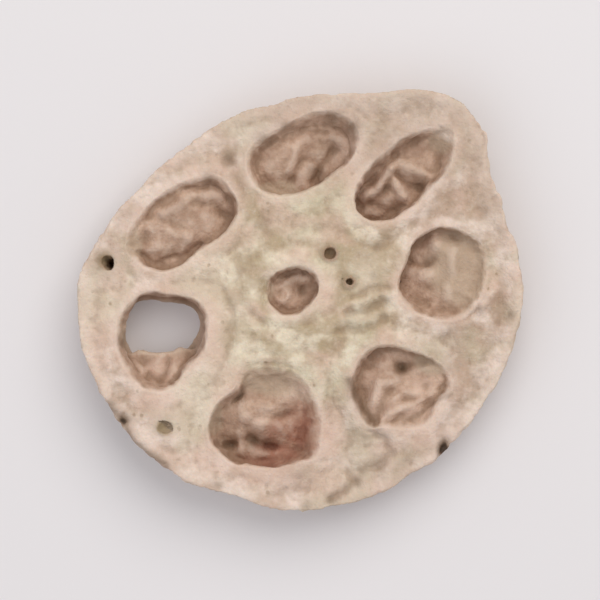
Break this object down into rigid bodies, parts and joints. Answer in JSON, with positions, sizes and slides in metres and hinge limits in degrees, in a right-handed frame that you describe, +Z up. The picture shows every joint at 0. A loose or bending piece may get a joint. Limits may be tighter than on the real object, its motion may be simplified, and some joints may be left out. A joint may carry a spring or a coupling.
{
  "type": "dried lotus root slice",
  "caption": "Round dried slice of lotus root, with a ring of air channels around a small middle one, each narrowing towards the lower cut face.",
  "frame": {"origin": "on the table, under the middle of the slice's bounding box", "axes": "+Z up out of the upper, larger cut face; +X along the slice's longest width, with the rim's blunt corner towards +X +Y"},
  "size_m": [0.0284, 0.0268, 0.0039],
  "materials": {
    "dried_flesh": "matte"
  },
  "bodies": {
    "root": {"lotus_root_slice": "dried_flesh"}
  },
  "joints": []
}
